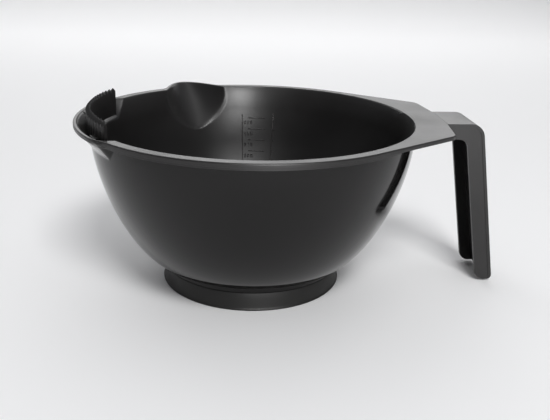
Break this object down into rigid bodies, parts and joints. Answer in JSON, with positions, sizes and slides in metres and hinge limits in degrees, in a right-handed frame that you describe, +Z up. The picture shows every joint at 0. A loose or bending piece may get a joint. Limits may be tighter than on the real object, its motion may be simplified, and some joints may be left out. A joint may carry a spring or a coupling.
{
  "type": "hair color bowl",
  "caption": "Round hair color mixing bowl with a bent channel handle, a pouring lip, a toothed brush-wiping comb in a small trough, and a rubber ring round its foot.",
  "frame": {"origin": "centre of the foot on the table", "axes": "+Z up, +X towards the handle, so the comb is at -X, four degrees round from it towards -Y, and the pouring lip is at +Y, a little towards -X"},
  "size_m": [0.1892, 0.1568, 0.0812],
  "materials": {
    "bowl": "gloss",
    "handle": "satin",
    "rubber": "matte",
    "comb": "satin"
  },
  "bodies": {
    "bowl_body": {"bowl": "bowl", "handle": "handle", "foot_ring": "rubber"},
    "comb": {"brush_comb": "comb"}
  },
  "joints": [
    {"name": "comb_lift", "type": "slide", "parent": "bowl_body", "child": "comb", "axis": [0, 0, 1], "range_m": [0, 0.02]}
  ]
}
